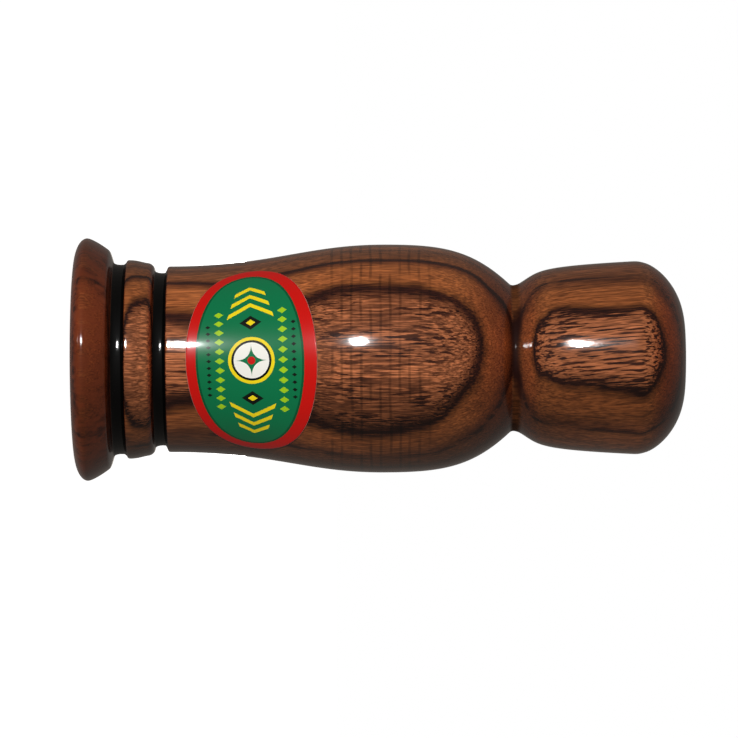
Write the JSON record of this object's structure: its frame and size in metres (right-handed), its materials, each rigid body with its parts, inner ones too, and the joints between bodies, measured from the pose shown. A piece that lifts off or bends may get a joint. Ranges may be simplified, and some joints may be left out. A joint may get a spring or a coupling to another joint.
{
  "type": "predator call",
  "caption": "Turned wooden closed-reed game call with a flared bell, a swelling barrel, a lanyard neck and a domed mouthpiece, and a plastic reed unit in its bore.",
  "frame": {"origin": "centre of the bell's flat face, on the call's axis", "axes": "+Z along the call's axis from the bell to the mouthpiece, -Y towards the middle of the label, +X to the right when the label faces the viewer"},
  "size_m": [0.0382, 0.0382, 0.0956],
  "materials": {
    "lacquered_walnut": "clear gloss lacquer over dark streaked hardwood",
    "printed_vinyl": "glossy printed sticker with a red border",
    "black_acetal": "turned, satin",
    "white_acetal": "moulded, satin",
    "polyester_film": "cut film, milky and glossy",
    "nitrile_rubber": "moulded, matt"
  },
  "bodies": {
    "call_body": {"barrel": "lacquered_walnut", "label": "printed_vinyl"},
    "reed_unit": {"reed_collar": "black_acetal", "front_o_ring": "nitrile_rubber", "rear_o_ring": "nitrile_rubber", "tone_trough": "white_acetal", "reed_wedge": "black_acetal"},
    "reed": {"reed": "polyester_film"}
  },
  "joints": [
    {"name": "reed_unit_slide", "type": "slide", "parent": "call_body", "child": "reed_unit", "axis": [0, 0, -1], "range_m": [0, 0.028]},
    {"name": "reed_flex", "type": "hinge", "parent": "reed_unit", "child": "reed", "pos_m": [0, 0.00013, 0.0429], "axis": [-1, 0, 0], "range_deg": [-1, 0.8], "stiffness_Nm_per_rad": 0.01}
  ]
}
